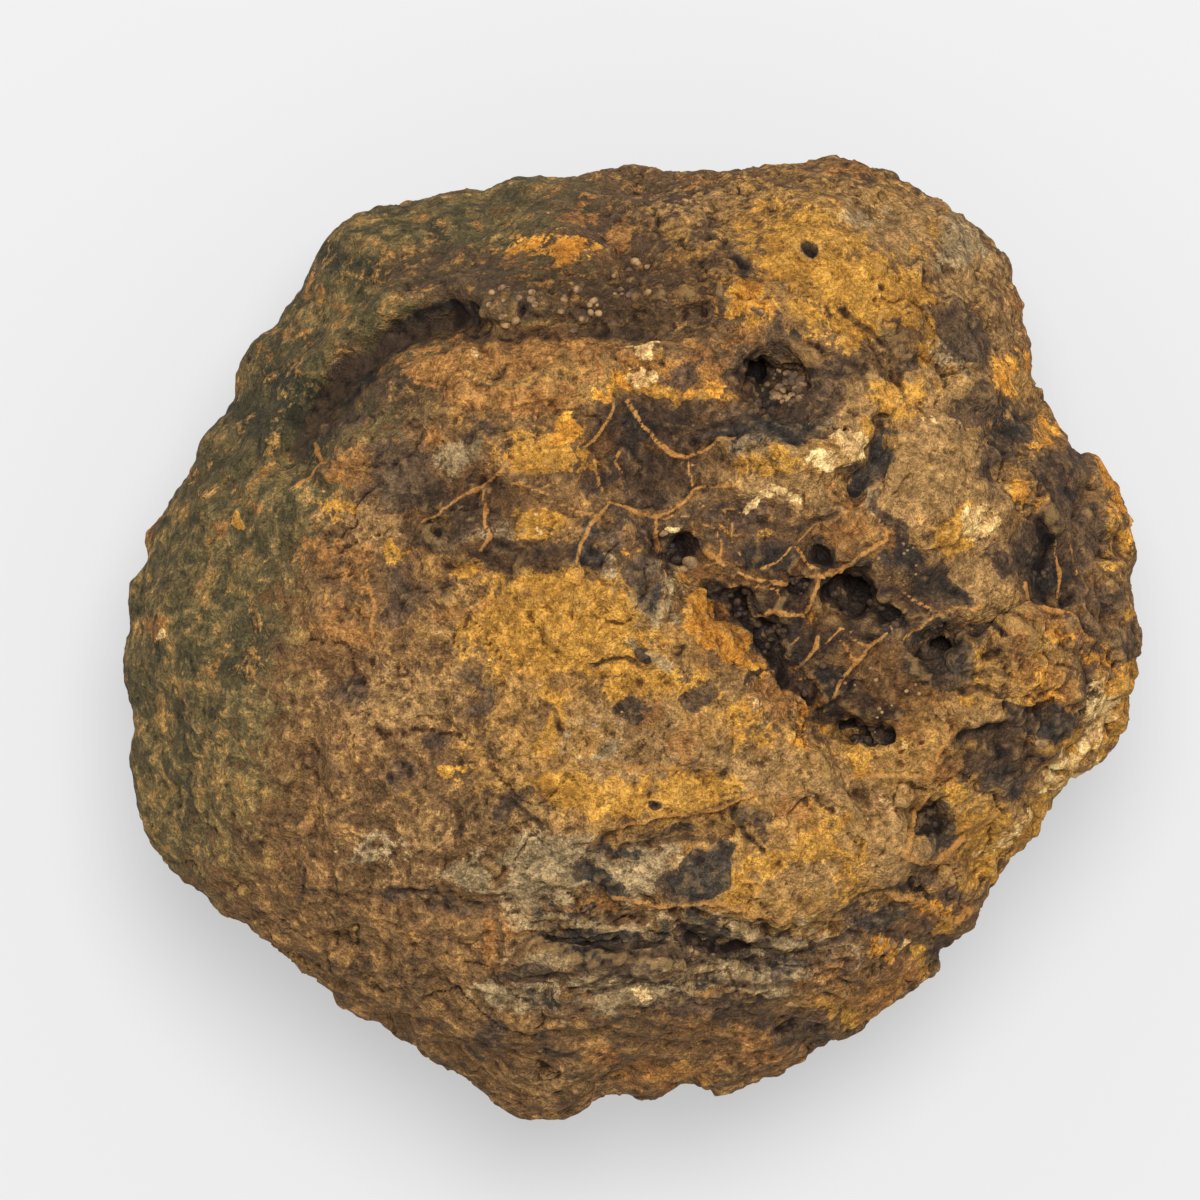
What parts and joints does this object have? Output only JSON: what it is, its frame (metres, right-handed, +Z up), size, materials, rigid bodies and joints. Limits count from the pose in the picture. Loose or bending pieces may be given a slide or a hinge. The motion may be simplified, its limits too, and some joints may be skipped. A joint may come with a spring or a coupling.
{
  "type": "whole geode",
  "caption": "Whole uncut geode, a rusty brown stone with a lumpy crust, orange veins, dark pits and layered ledges, lying on its back with its broad pitted face up.",
  "frame": {"origin": "middle of the stone as seen from above, on the surface it rests on", "axes": "+Z up, out of the broad pitted face; +X across the face to the right, along the stone's longest extent; +Y towards the face's top edge"},
  "size_m": [0.1598, 0.1524, 0.0932],
  "materials": {
    "iron_stained_crust": "matte"
  },
  "bodies": {
    "root": {"geode": "iron_stained_crust"}
  },
  "joints": []
}
